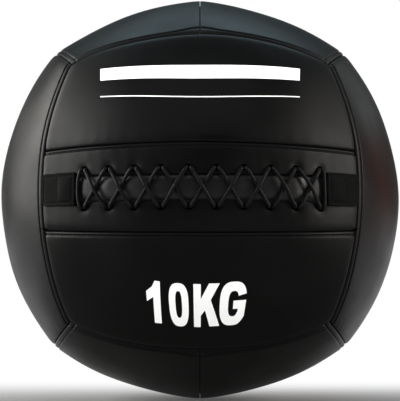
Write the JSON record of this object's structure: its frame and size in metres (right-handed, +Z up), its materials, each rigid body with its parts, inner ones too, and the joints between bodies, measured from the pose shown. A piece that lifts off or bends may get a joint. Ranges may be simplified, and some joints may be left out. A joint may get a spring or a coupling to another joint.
{
  "type": "wall ball",
  "caption": "Large soft leather wall ball for throwing drills, sewn from panels and laced across one face, round a weighted core.",
  "frame": {"origin": "middle of the small flat on which the ball stands", "axes": "+Z up, the laced face looks along -Y, +X to the right of someone who faces the lacing"},
  "size_m": [0.3498, 0.3545, 0.3475],
  "materials": {
    "panel_leather": "coated synthetic leather, fine grain, half matt",
    "tongue_leather": "coated synthetic leather, matt",
    "lace_cord": "waxed round cord",
    "tab_webbing": "woven webbing",
    "backing_webbing": "woven webbing",
    "foam": "closed cell foam",
    "liner_cloth": "plain woven cloth",
    "textile_fill": "shredded textile",
    "iron_grain": "heavy grain, poured"
  },
  "bodies": {
    "root": {"front_upper_panel": "panel_leather", "front_lower_panel": "panel_leather", "lacing_flap_upper": "panel_leather", "lacing_flap_lower": "panel_leather", "back_upper_panel": "panel_leather", "back_lower_panel": "panel_leather", "left_front_panel": "panel_leather", "left_back_panel": "panel_leather", "right_front_panel": "panel_leather", "right_back_panel": "panel_leather", "top_left_panel": "panel_leather", "top_right_panel": "panel_leather", "bottom_left_panel": "panel_leather", "bottom_right_panel": "panel_leather", "lacing_tongue": "tongue_leather", "lace": "lace_cord", "end_tab_left": "tab_webbing", "end_tab_right": "tab_webbing", "hole_backing_upper": "backing_webbing", "hole_backing_lower": "backing_webbing", "front_upper_foam_pad": "foam", "front_lower_foam_pad": "foam", "back_foam_pad": "foam", "left_foam_pad": "foam", "right_foam_pad": "foam", "top_foam_pad": "foam", "bottom_foam_pad": "foam", "liner_bag": "liner_cloth", "textile_fill_front": "textile_fill", "textile_fill_back": "textile_fill", "core_bag": "liner_cloth", "core_bag_tie": "lace_cord", "core_grain_fill": "iron_grain"}
  },
  "joints": []
}
